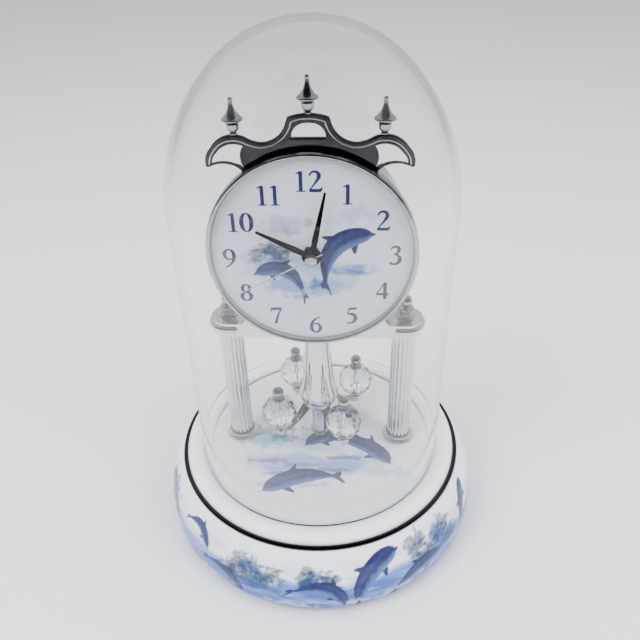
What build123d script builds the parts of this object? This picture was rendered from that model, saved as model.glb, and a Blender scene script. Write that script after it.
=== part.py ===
from build123d import *
import math
import os

# Anniversary clock: porcelain base, glass dome, two pillars, a round head with a quartz movement,
# and a rotating pendulum with four crystal balls. Millimetres, +Z up, the dial faces -Y.
# The origin is the centre of the base's foot, on the surface that the clock stands on.

# ---- driving dimensions ----
FOOT_R = 70.1              # base: foot ring
BELLY_R = 75.7             # base: widest circle
BELLY_Z = 8.1
CREASE_R = 66.4            # base: crease that holds the trim ring
CREASE_Z = 33.9
ROLL_TOP = (61.6, 38.6)    # base: crest of the rolled shoulder
DECK_Z = 36.8              # base: flat top inside the dome
WALL = 5.2                 # base: porcelain thickness

DOME_R = 57.0
DOME_WALL = 2.5
DOME_FOOT_Z = 36.05
DOME_SHOULDER_Z = 162.0
DOME_TOP_Z = 229.4
GROOVE_Z = 36.0            # floor of the groove that the dome stands in

PILLAR_X = 39.0
PILLAR_R = 5.5
PLATFORM_Z = 102.0         # underside of the platform
PLATFORM_TOP = 108.4
PLATFORM_HALF_DEPTH = 7.9
SADDLE_HALF = 31.9         # saddle: half width at its foot
SADDLE_TOP_HALF = 25.2
SADDLE_TOP_Z = 117.0

HEAD_Z = 147.0             # height of the hands' axis
DRUM_R = 38.0
DRUM_WALL = 1.2
DRUM_FRONT = -13.6
DRUM_BACK = 9.0
BEZEL_R = 41.1
DIAL_R = 39.7
DIAL_FRONT = -15.6
DIAL_BACK = -14.8
CREST_FRONT = -13.2
CREST_BACK = -11.0
CREST_MID = (CREST_FRONT + CREST_BACK) / 2
SIDE_FINIAL_X = 26.4

MOVE_FRONT = DIAL_BACK     # movement case
MOVE_BACK = 3.2
MOVE_HALF = 28.5
MOVE_LOW = 124.2
MOVE_HIGH = 168.0
MOVE_WALL = 1.2
CELL_R = 7.25              # an AA cell
CELL_LENGTH = 50.5
CELL_Y = -4.4
CELL_Z = MOVE_LOW + 0.8 + CELL_R

RUN = 0.06                 # radial running clearance of a shaft in a hole
FIT = 0.02                 # radial gap of a piece pressed or threaded onto another
TIP_R = 0.05               # flat at the very top of a turned ball or dome

CRYSTAL_Z = 62.3
CRYSTAL_ORBIT = 21.5
PENDULUM_TURN = -10.2      # degrees by which the pendulum stands turned at rest
ARM_ANGLES = [45 + 90 * k + PENDULUM_TURN for k in range(4)]

os.makedirs("parts", exist_ok=True)


# ---- helpers ----
def outline(start, *steps):
    """A face in the XY plane. A step is a point, for a line, or a pair of points, for an arc."""
    edges = []
    here = start
    for step in steps:
        if isinstance(step[0], tuple):
            edges.append(ThreePointArc(here, step[0], step[1]))
            here = step[1]
        else:
            edges.append(Line(here, step))
            here = step
    if here != start:
        edges.append(Line(here, start))
    return make_face(edges)


def turned(start, *steps):
    """A solid of revolution about Z, from an outline of (radius, height)."""
    return revolve(Plane.XZ * outline(start, *steps), Axis.Z, 360)


def turned_on_head(start, *steps):
    """A solid of revolution about the hands' axis, from an outline of (radius, y)."""
    return Pos(0, 0, HEAD_Z) * revolve(outline(start, *steps), Axis.Y, 360)


def slab(face, y_front, thickness):
    """Extrudes a face drawn in (x, z) from y_front towards the back."""
    return extrude(Pos(0, y_front, 0) * (Plane.XZ * face), amount=thickness, dir=(0, 1, 0))


def rod_y(x, z, radius, y_front, y_back):
    return slab(Pos(x, z) * Circle(radius), y_front, y_back - y_front)


def rod_z(x, y, radius, low, high):
    return Pos(x, y, low) * extrude(Circle(radius), amount=high - low)


def tube_z(x, y, radius, bore, low, high):
    return rod_z(x, y, radius, low, high) - rod_z(x, y, bore, low - 1, high + 1)


def block(low, high):
    """A box between two corners."""
    size = [b - a for a, b in zip(low, high)]
    centre = [(a + b) / 2 for a, b in zip(low, high)]
    return Pos(*centre) * Box(*size)


def hex_nut(x, y, across_corners, bore, low, high):
    nut = Pos(x, y, low) * extrude(RegularPolygon(across_corners / 2, 6), amount=high - low)
    return nut - rod_z(x, y, bore, low - 1, high + 1)


def save(name, *solids):
    """Writes one node: a single solid, or a group of separate ones."""
    found = [s for part in solids for s in part.solids()]
    shape = found[0] if len(found) == 1 else Compound(children=found)
    shape.label = name
    export_step(shape, f"parts/{name}.step")


# ---- base ----
belly_in_r = BELLY_R - WALL
base = turned(
    (FOOT_R - 7, 0), (FOOT_R, 0), ((74.3, 2.6), (BELLY_R, BELLY_Z)),
    ((74.0, 22.6), (CREASE_R + 1.2, CREASE_Z)), (CREASE_R - 0.9, CREASE_Z),
    ((64.6, 37.4), ROLL_TOP), ((59.0, 37.9), (DOME_R + 0.4, DECK_Z)), (DOME_R + 0.4, GROOVE_Z),
    (DOME_R - DOME_WALL - 0.4, GROOVE_Z), (DOME_R - DOME_WALL - 0.4, DECK_Z), (0, DECK_Z),
    (0, DECK_Z - WALL), (52, DECK_Z - WALL), ((64.5, 24.0), (belly_in_r, BELLY_Z)),
    ((69.0, 5.4), (FOOT_R - 7, 4.4)),
)
TRIM_R = CREASE_R + 0.25
TRIM_WIRE = 1.15
trim_z = CREASE_Z + 0.55
trim_groove = Pos(TRIM_R, trim_z) * Circle(TRIM_WIRE + FIT)
base -= revolve(Plane.XZ * trim_groove, Axis.Z, 360)
ROD_R = 1.5
EYELET_R = 1.6
for side in (-1, 1):
    base -= rod_z(side * PILLAR_X, 0, ROD_R + 0.5, DECK_Z - WALL - 1, DECK_Z + 1)
base -= rod_z(0, 0, EYELET_R + FIT, DECK_Z - WALL - 1, DECK_Z + 1)
save("base_body", base)

save("base_trim_ring", revolve(Plane.XZ * (Pos(TRIM_R, trim_z) * Circle(TRIM_WIRE)), Axis.Z, 360))

BOARD_R = FOOT_R - 7.3
save("base_bottom_board", rod_z(0, 0, BOARD_R, 2.2, 4.2))
save("base_felt", rod_z(0, 0, BOARD_R - 0.8, 1.0, 2.2))

PIN_R = 0.9
eyelet = rod_z(0, 0, EYELET_R, 33.0, DECK_Z) + rod_z(0, 0, 2.4, DECK_Z, DECK_Z + 0.6)
save("guide_eyelet", eyelet - rod_z(0, 0, PIN_R + 0.1, 32, DECK_Z + 2))

# ---- pillars and what clamps them ----
GASKET = 0.5
foot_z = DECK_Z + GASKET
tube_low = foot_z + 1.2
reeds = 16
reed_section = Circle(PILLAR_R - 0.55)
for k in range(reeds):
    turn = 360 / reeds * k
    reed_section += Rot(0, 0, turn) * (Pos(PILLAR_R - 0.92, 0) * Circle(0.92))

gaskets = []
rods = []
washers = []
nuts = []
feet = []
finials = []
for side, word in ((-1, "left"), (1, "right")):
    x = side * PILLAR_X
    gaskets.append(tube_z(x, 0, 7.0, ROD_R + 0.4, DECK_Z, foot_z))
    ring = turned(
        (ROD_R + 0.3, foot_z), (7.0, foot_z), ((7.8, foot_z + 0.9), (7.0, foot_z + 1.8)),
        ((6.5, foot_z + 2.3), (6.4, foot_z + 3.0)), ((6.15, foot_z + 3.4), (5.9, foot_z + 3.0)),
        (5.7, foot_z + 1.2), (ROD_R + 0.3, foot_z + 1.2),
    )
    feet.append(Pos(x, 0, 0) * ring)
    pillar = extrude(Pos(x, 0, tube_low) * reed_section, amount=PLATFORM_Z - tube_low)
    save(f"pillar_{word}", pillar - rod_z(x, 0, ROD_R + 0.3, tube_low - 1, PLATFORM_Z + 1))
    rods.append(rod_z(x, 0, ROD_R, 26.0, 112.5))
    washers.append(tube_z(x, 0, 6.0, ROD_R + 0.3, DECK_Z - WALL - 1.0, DECK_Z - WALL))
    nuts.append(hex_nut(x, 0, 6.4, ROD_R + FIT, 28.1, DECK_Z - WALL - 1.0))
    top = PLATFORM_TOP
    finial = turned(
        (0, top), (4.0, top), (4.0, top + 0.7), ((2.9, top + 1.2), (2.6, top + 2.1)),
        ((3.1, top + 2.6), (2.6, top + 3.1)), ((2.5, top + 3.6), (2.9, top + 4.0)),
        ((3.6, top + 4.5), (2.9, top + 5.0)), (1.6, top + 5.85),
        ((2.7, top + 8.02), (TIP_R, top + 10.72)), (0, top + 10.72),
    )
    finial -= rod_z(0, 0, ROD_R + FIT, top - 1, 112.6)
    finials.append(Pos(x, 0, 0) * finial)
save("pillar_feet", *feet)
save("pillar_finials", *finials)
save("pillar_gaskets", *gaskets)
save("tie_rods", *rods)
save("rod_washers", *washers)
save("rod_nuts", *nuts)

# ---- platform ----
SHAFT_HOLE_R = 3.0
CASE_BOLT_X = 16.0
CASE_BOLT_R = 1.5
bar = SlotOverall(2 * (PILLAR_X + PLATFORM_HALF_DEPTH), 2 * PLATFORM_HALF_DEPTH)
platform = Pos(0, 0, PLATFORM_Z) * extrude(bar, amount=PLATFORM_TOP - PLATFORM_Z)
BEAD_R = 1.35
bead_z = PLATFORM_Z + 3.6
for side in (-1, 1):
    bead_line = Pos(side * PILLAR_X, 0, bead_z) * Wire([
        Line((-side * 3.6, -PLATFORM_HALF_DEPTH), (0, -PLATFORM_HALF_DEPTH)),
        ThreePointArc(
            (0, -PLATFORM_HALF_DEPTH), (side * PLATFORM_HALF_DEPTH, 0), (0, PLATFORM_HALF_DEPTH)
        ),
        Line((0, PLATFORM_HALF_DEPTH), (-side * 3.6, PLATFORM_HALF_DEPTH)),
    ])
    platform += sweep(Plane(bead_line @ 0, z_dir=bead_line % 0) * Circle(BEAD_R), path=bead_line)
    for end in (0, 1):
        platform += Pos(bead_line @ end) * Sphere(BEAD_R)
saddle = outline(
    (-SADDLE_HALF, PLATFORM_TOP), (SADDLE_HALF, PLATFORM_TOP), (SADDLE_TOP_HALF, SADDLE_TOP_Z),
    (-SADDLE_TOP_HALF, SADDLE_TOP_Z),
)
platform += slab(saddle, -PLATFORM_HALF_DEPTH, 2 * PLATFORM_HALF_DEPTH)
platform -= rod_y(0, HEAD_Z, DRUM_R + 0.05, -20, 20)
platform -= rod_z(0, 0, SHAFT_HOLE_R, PLATFORM_Z - 1, PLATFORM_TOP + 5)
for side in (-1, 1):
    platform -= rod_z(side * PILLAR_X, 0, ROD_R + 0.3, PLATFORM_Z - 1, PLATFORM_TOP + 1)
    platform -= rod_z(side * CASE_BOLT_X, 0, CASE_BOLT_R + 0.2, PLATFORM_Z - 1, SADDLE_TOP_Z + 1)
save("platform", platform)

# ---- head: drum, rear cover, dial, bezel ----
drum_in = DRUM_R - DRUM_WALL
drum = turned_on_head(
    (drum_in, DIAL_BACK), (DIAL_R, DIAL_BACK), (DIAL_R, DRUM_FRONT), (DRUM_R, DRUM_FRONT),
    (DRUM_R, DRUM_BACK - 0.6), ((DRUM_R - 0.2, DRUM_BACK - 0.2), (DRUM_R - 0.6, DRUM_BACK)),
    (drum_in, DRUM_BACK),
)
drum -= rod_z(0, 0, SHAFT_HOLE_R, HEAD_Z - DRUM_R - 2, HEAD_Z - 20)
CREST_SCREW_X = 9.0
CREST_SCREW_R = 0.7
for side in (-1, 1):
    drum -= rod_z(side * CASE_BOLT_X, 0, CASE_BOLT_R + 0.2, HEAD_Z - DRUM_R, HEAD_Z - 20)
    drum -= rod_z(side * CREST_SCREW_X, CREST_MID, CREST_SCREW_R + 0.1, HEAD_Z + 20, HEAD_Z + DRUM_R)
save("case_drum", drum)

WINDOW_HALF = 28.0
window = Pos(0, (MOVE_LOW + MOVE_HIGH) / 2) * RectangleRounded(2 * WINDOW_HALF, 42.6, 3)
rear_cover = turned_on_head((0, 7.6), (drum_in - FIT, 7.6), (drum_in - FIT, 8.8), (0, 8.8))
save("rear_cover", rear_cover - slab(window, 5, 6))

BUSH_R = 3.0
dial = turned_on_head(
    (BUSH_R + 0.1, DIAL_FRONT), (DIAL_R, DIAL_FRONT), (DIAL_R, DIAL_BACK), (BUSH_R + 0.1, DIAL_BACK)
)
save("dial_plate", dial)

bezel = turned_on_head(
    (DIAL_R + 0.05, DIAL_FRONT), (38.8, DIAL_FRONT), (39.2, -17.0), ((40.0, -18.0), (40.9, -17.2)),
    ((41.05, -16.6), (BEZEL_R, -16.0)), (BEZEL_R, CREST_FRONT), (DIAL_R + 0.05, CREST_FRONT),
)
save("bezel", bezel)

# ---- crest and its finials ----
crest_face = outline(
    (0, 200.2), ((4.6, 199.69), (7.3, 198.9)), (7.9, 197.4), ((11.0, 192.3), (16.8, 190.0)),
    ((19.6, 190.5), (22.6, 191.9)), ((30.2, 192.3), (35.2, 188.3)), ((37.3, 184.9), (37.5, 181.6)),
    ((37.0, 181.1), (36.3, 181.2)), ((31.7, 182.4), (26.5, 181.2)), (22.0, 178.0), (0, 178.0),
)
crest_face += mirror(crest_face, Plane.YZ)
opening = outline(
    (-6.1, 191.8), (6.1, 191.8), ((5.0, 195.0), (2.2, 196.8)), ((0, 197.0), (-2.2, 196.8)),
    ((-5.0, 195.0), (-6.1, 191.8)),
)
crest = slab(crest_face - opening, CREST_FRONT, CREST_BACK - CREST_FRONT)
crest -= rod_y(0, HEAD_Z, DRUM_R + 0.05, CREST_FRONT - 1, CREST_BACK + 1)
STUD_R = 0.6
CREST_FINIALS = ((0, 200.2), (-SIDE_FINIAL_X, 193.0), (SIDE_FINIAL_X, 193.0))
for x, top in CREST_FINIALS:
    crest -= rod_z(x, CREST_MID, STUD_R + FIT, top - 3.4, top + 2)
for side in (-1, 1):
    crest -= rod_z(side * CREST_SCREW_X, CREST_MID, CREST_SCREW_R + FIT, HEAD_Z + 30, HEAD_Z + 41.5)
save("crest", crest)

crest_screws = []
for side in (-1, 1):
    shank = rod_z(side * CREST_SCREW_X, CREST_MID, CREST_SCREW_R, HEAD_Z + 34.6, HEAD_Z + 41)
    crest_screws.append(shank + rod_z(side * CREST_SCREW_X, CREST_MID, 1.4, HEAD_Z + 33.4, HEAD_Z + 34.6))
save("crest_screws", *crest_screws)

spire = turned(
    (0, -3.0), (STUD_R, -3.0), (STUD_R, 0.05), (1.4, 0.05), ((1.3, 0.7), (1.15, 1.0)),
    ((1.95, 1.6), (2.2, 2.7)), (2.3, 3.6), (2.2, 4.0), (1.7, 4.3), (1.7, 4.6), (3.4, 4.8),
    ((3.85, 5.2), (3.6, 5.7)), ((1.85, 7.6), (0.78, 11.0)), (0.72, 11.6), ((0.86, 12.1), (TIP_R, 12.75)),
    (0, 12.75),
)
save("crest_finials", *(Pos(x, CREST_MID, top) * spire for x, top in CREST_FINIALS))

# ---- bolts that hold the drum on the platform ----
bolts = []
bolt_nuts = []
for side in (-1, 1):
    x = side * CASE_BOLT_X
    head = rod_z(x, 0, 2.8, PLATFORM_Z - 1.8, PLATFORM_Z)
    slot = block((x - 3, -0.35, PLATFORM_Z - 2), (x + 3, 0.35, PLATFORM_Z - 1.1))
    bolts.append(head - slot + rod_z(x, 0, CASE_BOLT_R, PLATFORM_Z, 119.0))
    bolt_nuts.append(hex_nut(x, 0, 5.6, CASE_BOLT_R + FIT, 115.7, 118.0))
save("case_bolts", *bolts)
save("case_bolt_nuts", *bolt_nuts)


# ---- gears ----
# Every gear turns about an axis along Y. Angles are measured from +X towards +Z.
ADDENDUM = 0.8
DEDENDUM = 1.1


def gear(x, z, teeth, module, phase, y_front, y_back):
    """A thin-toothed spur gear with straight flanks; a tooth is centred on the phase angle."""
    pitch_r = teeth * module / 2
    root_r = pitch_r - DEDENDUM * module
    tip_r = pitch_r + ADDENDUM * module
    pitch = 360 / teeth
    points = []
    for k in range(teeth):
        for radius, share in ((root_r, -0.27), (tip_r, -0.11), (tip_r, 0.11), (root_r, 0.27)):
            angle = math.radians(phase + (k + share) * pitch)
            points.append((radius * math.cos(angle), radius * math.sin(angle)))
    face = make_face(Polyline(*points, close=True))
    return slab(Pos(x, z) * face, y_front, y_back - y_front)


def meshed_phase(teeth_a, phase_a, teeth_b, direction):
    """The phase of gear b that meshes with gear a, where b lies in the given direction from a."""
    pitch_a = 360 / teeth_a
    pitch_b = 360 / teeth_b
    lag = (direction - phase_a) % pitch_a
    return direction + 180 + lag * teeth_a / teeth_b - pitch_b / 2


def away(origin, distance, direction):
    angle = math.radians(direction)
    return origin[0] + distance * math.cos(angle), origin[1] + distance * math.sin(angle)


CENTRE = (0.0, HEAD_Z)
HOUR_TEETH, MOTION_PINION = 40, 10
CANNON_TEETH, MOTION_TEETH, KNOB_TEETH = 12, 36, 12
CENTRE_TEETH, THIRD_PINION = 64, 8
THIRD_TEETH, SECOND_PINION = 60, 8
SECOND_TEETH, INTER_PINION = 50, 10
INTER_TEETH, ROTOR_PINION = 48, 8

motion_module = 0.4
motion_gap = (CANNON_TEETH + MOTION_TEETH) / 2 * motion_module
hour_module = motion_gap * 2 / (HOUR_TEETH + MOTION_PINION)
third_gap = 8.64
centre_module = third_gap * 2 / (CENTRE_TEETH + THIRD_PINION)
third_module = third_gap * 2 / (THIRD_TEETH + SECOND_PINION)
second_module = 0.28
inter_gap = (SECOND_TEETH + INTER_PINION) / 2 * second_module
inter_module = 0.25
rotor_gap = (INTER_TEETH + ROTOR_PINION) / 2 * inter_module

MOTION_WAY, KNOB_WAY, THIRD_WAY, INTER_WAY, ROTOR_WAY = 0.0, 30.0, 150.0, 80.0, 10.0
MOTION = away(CENTRE, motion_gap, MOTION_WAY)
KNOB = away(MOTION, motion_gap, KNOB_WAY)
THIRD = away(CENTRE, third_gap, THIRD_WAY)
INTER = away(CENTRE, inter_gap, INTER_WAY)
ROTOR = away(INTER, rotor_gap, ROTOR_WAY)

cannon_phase = 0.0
motion_phase = meshed_phase(CANNON_TEETH, cannon_phase, MOTION_TEETH, MOTION_WAY)
knob_phase = meshed_phase(MOTION_TEETH, motion_phase, KNOB_TEETH, KNOB_WAY)
motion_pinion_phase = 0.0
hour_phase = meshed_phase(MOTION_PINION, motion_pinion_phase, HOUR_TEETH, MOTION_WAY + 180)
centre_phase = 0.0
third_pinion_phase = meshed_phase(CENTRE_TEETH, centre_phase, THIRD_PINION, THIRD_WAY)
second_pinion_phase = 0.0
third_phase = meshed_phase(SECOND_PINION, second_pinion_phase, THIRD_TEETH, THIRD_WAY)
second_phase = 0.0
inter_pinion_phase = meshed_phase(SECOND_TEETH, second_phase, INTER_PINION, INTER_WAY)
inter_phase = 0.0
rotor_phase = meshed_phase(INTER_TEETH, inter_phase, ROTOR_PINION, ROTOR_WAY)

# Radii of the nested arbors, from the second hand's arbor out to the threaded bush.
SECOND_ARBOR = 0.45
CANNON_BORE = SECOND_ARBOR + RUN
CANNON_R = 1.1
HOUR_BORE = CANNON_R + RUN
HOUR_TUBE_R = 1.8
BUSH_BORE = HOUR_TUBE_R + RUN
PIVOT_R = 0.35
BUSH_TIP = -17.1
HOUR_HAND_Y = -17.9        # front faces of the three hands
MINUTE_HAND_Y = -19.0
SECOND_HAND_Y = -20.0


def drill_y(solid, place, radius):
    return solid - rod_y(place[0], place[1], radius, -30, 30)


# ---- movement: fixed pieces ----
def case_outline(inset):
    centre_z = (MOVE_LOW + MOVE_HIGH) / 2
    height = MOVE_HIGH - MOVE_LOW
    shape = RectangleRounded(2 * (MOVE_HALF - inset), height - 2 * inset, 5 - inset)
    return Pos(0, centre_z) * shape


front_inner = MOVE_FRONT + MOVE_WALL
front_plate = slab(case_outline(0), MOVE_FRONT, MOVE_WALL)
front_plate += rod_y(0, HEAD_Z, BUSH_R, BUSH_TIP, MOVE_FRONT)
front_plate += rod_y(MOTION[0], MOTION[1], 0.6, front_inner, -10.5)
front_plate = drill_y(front_plate, CENTRE, BUSH_BORE)
front_plate = drill_y(front_plate, THIRD, PIVOT_R + RUN)
save("movement_front_plate", front_plate)

rear_inner = MOVE_BACK - MOVE_WALL
rear_shell = slab(case_outline(0), front_inner, MOVE_BACK - front_inner)
rear_shell -= slab(case_outline(MOVE_WALL), front_inner - 1, rear_inner - front_inner + 1)
bay_end = CELL_LENGTH / 2 + 1.0
bay_reach = CELL_R + 0.3
rear_shell -= block((-bay_end, CELL_Y - bay_reach, CELL_Z - bay_reach), (bay_end, 5, CELL_Z + bay_reach))
rear_shell = drill_y(rear_shell, KNOB, 0.8 + RUN)
for place in (CENTRE, THIRD, INTER, ROTOR):
    rear_shell = drill_y(rear_shell, place, PIVOT_R + RUN)
save("movement_rear_shell", rear_shell)

BRIDGE_FRONT, BRIDGE_BACK = -8.5, -7.7
bridge_face = Pos(0, 154.2) * RectangleRounded(51, 23.5, 2)
bridge = slab(bridge_face, BRIDGE_FRONT, BRIDGE_BACK - BRIDGE_FRONT)
for x, z in ((-23.5, 144.5), (-23.5, 164.0), (23.5, 144.5), (23.5, 164.0)):
    bridge += rod_y(x, z, 1.2, front_inner, BRIDGE_FRONT)
bridge = drill_y(bridge, CENTRE, CANNON_R + 0.4)
bridge = drill_y(bridge, THIRD, PIVOT_R + RUN)
bridge = drill_y(bridge, KNOB, 0.8 + RUN)
for place in (INTER, ROTOR):
    bridge = drill_y(bridge, place, PIVOT_R + RUN)
save("train_bridge", bridge)

nut_face = Pos(0, HEAD_Z) * RegularPolygon(4.0, 6)
centre_nut = slab(nut_face, -16.8, 1.2)
save("centre_nut", centre_nut - rod_y(0, HEAD_Z, BUSH_R + FIT, -20, -10))

COIL_Z = 163.8
COIL_X = 3.75
coil = Pos(COIL_X, -0.8, COIL_Z) * (Rot(0, 90, 0) * Cylinder(2.2, 18.4))
for end in (-1, 1):
    coil += Pos(COIL_X + end * 9.6, -0.8, COIL_Z) * (Rot(0, 90, 0) * Cylinder(2.6, 0.8))
coil -= block((-20, -1.4, COIL_Z - 0.6), (30, -0.2, COIL_Z + 0.6))
save("drive_coil", coil)

stator_low, stator_high = ROTOR[1] + 0.1, ROTOR[1] + 1.9
core_left, core_right = COIL_X - 13.0, COIL_X + 13.0
stator = block((core_left, -1.3, COIL_Z - 0.5), (core_right, -0.3, COIL_Z + 0.5))
stator += block((core_left, -1.3, stator_low), (core_left + 1.2, -0.3, COIL_Z + 0.5))
stator += block((core_right - 1.2, -1.3, stator_low), (core_right, -0.3, COIL_Z + 0.5))
stator += block((core_left, -1.3, stator_low), (core_right, -0.3, stator_high))
stator += rod_y(ROTOR[0], ROTOR[1], 3.9, -1.3, -0.3)
stator -= rod_y(ROTOR[0], ROTOR[1], 2.9, -2, 0)
save("stator", stator)

save("circuit_board", block((-27.0, 0.8, 142.0), (-10.0, 1.8, 164.0)))

contacts = []
for side in (-1, 1):
    x = side * (CELL_LENGTH / 2 + 0.75)
    leaf = block((x - 0.2, CELL_Y - 4, CELL_Z - 5), (x + 0.2, CELL_Y + 4, CELL_Z + 5))
    inner = x - side * 0.45
    leaf += block((min(x, inner), CELL_Y - 2, CELL_Z - 2), (max(x, inner), CELL_Y + 2, CELL_Z + 2))
    contacts.append(leaf)
save("battery_contacts", *contacts)

# ---- movement: moving pieces ----
hour_wheel = gear(0, HEAD_Z, HOUR_TEETH, hour_module, hour_phase, -13.2, -12.3)
hour_wheel += rod_y(0, HEAD_Z, HOUR_TUBE_R, HOUR_HAND_Y, -12.3)
save("hour_wheel", hour_wheel - rod_y(0, HEAD_Z, HOUR_BORE, -30, 0))

cannon = gear(0, HEAD_Z, CANNON_TEETH, motion_module, cannon_phase, -11.8, -10.6)
cannon += rod_y(0, HEAD_Z, CANNON_R, MINUTE_HAND_Y, -8.7)
save("cannon_tube", cannon - rod_y(0, HEAD_Z, CANNON_BORE, -30, 0))

centre_wheel = gear(0, HEAD_Z, CENTRE_TEETH, centre_module, centre_phase, -9.9, -9.1)
save("centre_wheel", centre_wheel - rod_y(0, HEAD_Z, CANNON_R + FIT, -30, 0))

motion = gear(*MOTION, MOTION_TEETH, motion_module, motion_phase, -11.7, -10.8)
motion += gear(*MOTION, MOTION_PINION, hour_module, motion_pinion_phase, -13.3, -11.7)
save("motion_wheel", motion - rod_y(*MOTION, 0.6 + RUN, -30, 0))

third = gear(*THIRD, THIRD_PINION, centre_module, third_pinion_phase, -10.3, -8.8)
third += gear(*THIRD, THIRD_TEETH, third_module, third_phase, -7.1, -6.3)
third += rod_y(*THIRD, PIVOT_R, -14.4, 2.8)
save("third_wheel", third)

second_wheel = gear(0, HEAD_Z, SECOND_PINION, third_module, second_pinion_phase, -7.4, -5.3)
second_wheel += gear(0, HEAD_Z, SECOND_TEETH, second_module, second_phase, -5.3, -4.5)
second_wheel += rod_y(0, HEAD_Z, SECOND_ARBOR, SECOND_HAND_Y + 0.2, -4.5)
second_wheel += rod_y(0, HEAD_Z, PIVOT_R, -4.5, 2.8)
save("second_wheel", second_wheel)

inter = gear(*INTER, INTER_PINION, second_module, inter_pinion_phase, -5.6, -3.5)
inter += gear(*INTER, INTER_TEETH, inter_module, inter_phase, -3.5, -2.7)
inter += rod_y(*INTER, PIVOT_R, -8.3, 2.8)
save("intermediate_wheel", inter)

rotor = gear(*ROTOR, ROTOR_PINION, inter_module, rotor_phase, -3.8, -2.0)
rotor += rod_y(*ROTOR, 2.4, -2.0, 0.4)
rotor += rod_y(*ROTOR, PIVOT_R, -8.3, 2.8)
save("rotor", rotor)

knob_face = Circle(4.7)
knob_ribs = 24
for k in range(knob_ribs):
    knob_face += Rot(0, 0, 360 / knob_ribs * k) * (Pos(4.7, 0) * Circle(0.3))
knob = gear(*KNOB, KNOB_TEETH, motion_module, knob_phase, -11.8, -10.6)
knob += rod_y(*KNOB, 0.8, -12.6, 3.8)
knob += slab(Pos(*KNOB) * knob_face, 3.6, 3.2)
save("setting_knob", knob)

cell = rod_z(0, 0, CELL_R - 0.1, 0, 0.8) + rod_z(0, 0, CELL_R, 0.8, CELL_LENGTH - 2.0)
cell += rod_z(0, 0, CELL_R - 0.9, CELL_LENGTH - 2.0, CELL_LENGTH - 1.4)
cell += rod_z(0, 0, 2.7, CELL_LENGTH - 1.4, CELL_LENGTH)
save("battery", Pos(-CELL_LENGTH / 2, CELL_Y, CELL_Z) * (Rot(0, 90, 0) * cell))


# ---- hands ----
def hand(length, root_half, belly_half, tip_half, boss, bore, tail=0.0):
    """A tapered hand that points up along +Y of its own plane, with a round boss."""
    blade = outline(
        (-root_half, -tail), (-root_half, 1.0), (-belly_half, length * 0.3), (-tip_half, length - tip_half),
        ((0, length), (tip_half, length - tip_half)), (belly_half, length * 0.3), (root_half, 1.0),
        (root_half, -tail),
    )
    return blade + Circle(boss) - Circle(bore)


def place_hand(face, clock_degrees, y_front, thickness):
    return slab(Pos(0, HEAD_Z) * (Rot(0, 0, -clock_degrees) * face), y_front, thickness)


HOUR_DEGREES, MINUTE_DEGREES, SECOND_DEGREES = 297.0, 12.0, 242.0
hour_face = hand(23.4, 1.0, 1.25, 0.5, 3.7, HOUR_TUBE_R + FIT)
save("hour_hand", place_hand(hour_face, HOUR_DEGREES, HOUR_HAND_Y, 0.4))
minute_face = hand(27.6, 0.9, 1.2, 0.42, 3.3, CANNON_R + FIT)
save("minute_hand", place_hand(minute_face, MINUTE_DEGREES, MINUTE_HAND_Y, 0.4))
second_face = hand(34.0, 0.22, 0.26, 0.14, 1.3, 0.65, tail=5.0)
CAP_R = 2.3
second_hand = place_hand(second_face, SECOND_DEGREES, SECOND_HAND_Y + 0.2, 0.25)
second_hand += turned_on_head(
    (0, SECOND_HAND_Y - 1.3), (1.8, SECOND_HAND_Y - 1.3), (CAP_R, SECOND_HAND_Y - 0.9), (CAP_R, -19.3),
    (SECOND_ARBOR + FIT, -19.3), (SECOND_ARBOR + FIT, SECOND_HAND_Y + 0.1), (0, SECOND_HAND_Y + 0.1),
)
save("second_hand", second_hand)

# ---- pendulum drive ----
SHAFT_R = 1.0
DRIVE_LOW, DRIVE_HIGH = 113.6, 123.6
drive_case = block((-10.8, -6, DRIVE_LOW), (10.8, 6, DRIVE_HIGH))
drive_case -= block((-9.8, -5, DRIVE_LOW + 1.2), (9.8, 5, DRIVE_HIGH - 1.0))
drive_case -= rod_z(0, 0, 2.2 + FIT, DRIVE_LOW - 1, DRIVE_LOW + 2)
save("pendulum_drive_case", drive_case)

bush = rod_z(0, 0, 2.2, DRIVE_LOW, DRIVE_LOW + 1.2) + rod_z(0, 0, 3.0, DRIVE_LOW + 1.2, DRIVE_LOW + 1.9)
save("pendulum_bearing", bush - rod_z(0, 0, SHAFT_R + RUN, DRIVE_LOW - 1, DRIVE_LOW + 3))
save("pendulum_coil", tube_z(0, 0, 4.4, 1.7, 120.0, DRIVE_HIGH - 1.0))

# ---- pendulum ----
collar_z = DRIVE_LOW + 1.95
shaft = rod_z(0, 0, SHAFT_R, 96.0, 119.4) + rod_z(0, 0, 1.8, collar_z, collar_z + 0.5)
save("pendulum_shaft", shaft)
save("pendulum_magnet", tube_z(0, 0, 3.6, SHAFT_R + FIT, collar_z + 0.5, 119.0))

HUB_TOP, HUB_LOW = 66.0, 58.5
column = turned(
    (0, HUB_TOP), (9.1, HUB_TOP), ((7.55, 72.5), (6.9, 80.0)), ((6.0, 90.0), (5.5, 100.2)),
    ((5.4, 100.6), (5.0, 100.8)), (SHAFT_R + FIT, 100.8), (SHAFT_R + FIT, 95.95), (0, 95.95),
)
column -= rod_z(0, 0, 2.0 + FIT, HUB_TOP - 1, HUB_TOP + 5)
save("pendulum_column", column)

STEM_R = 3.65
stem = turned(
    (0, 33.6), (PIN_R - 0.3, 33.6), (PIN_R, 34.2), (PIN_R, 40.0), (4.0, 40.0), ((4.6, 40.6), (4.0, 41.2)),
    (STEM_R, 41.2), (STEM_R, HUB_TOP), (2.0, HUB_TOP), (2.0, HUB_TOP + 5), (0, HUB_TOP + 5),
)
save("pendulum_stem", stem)


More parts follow.
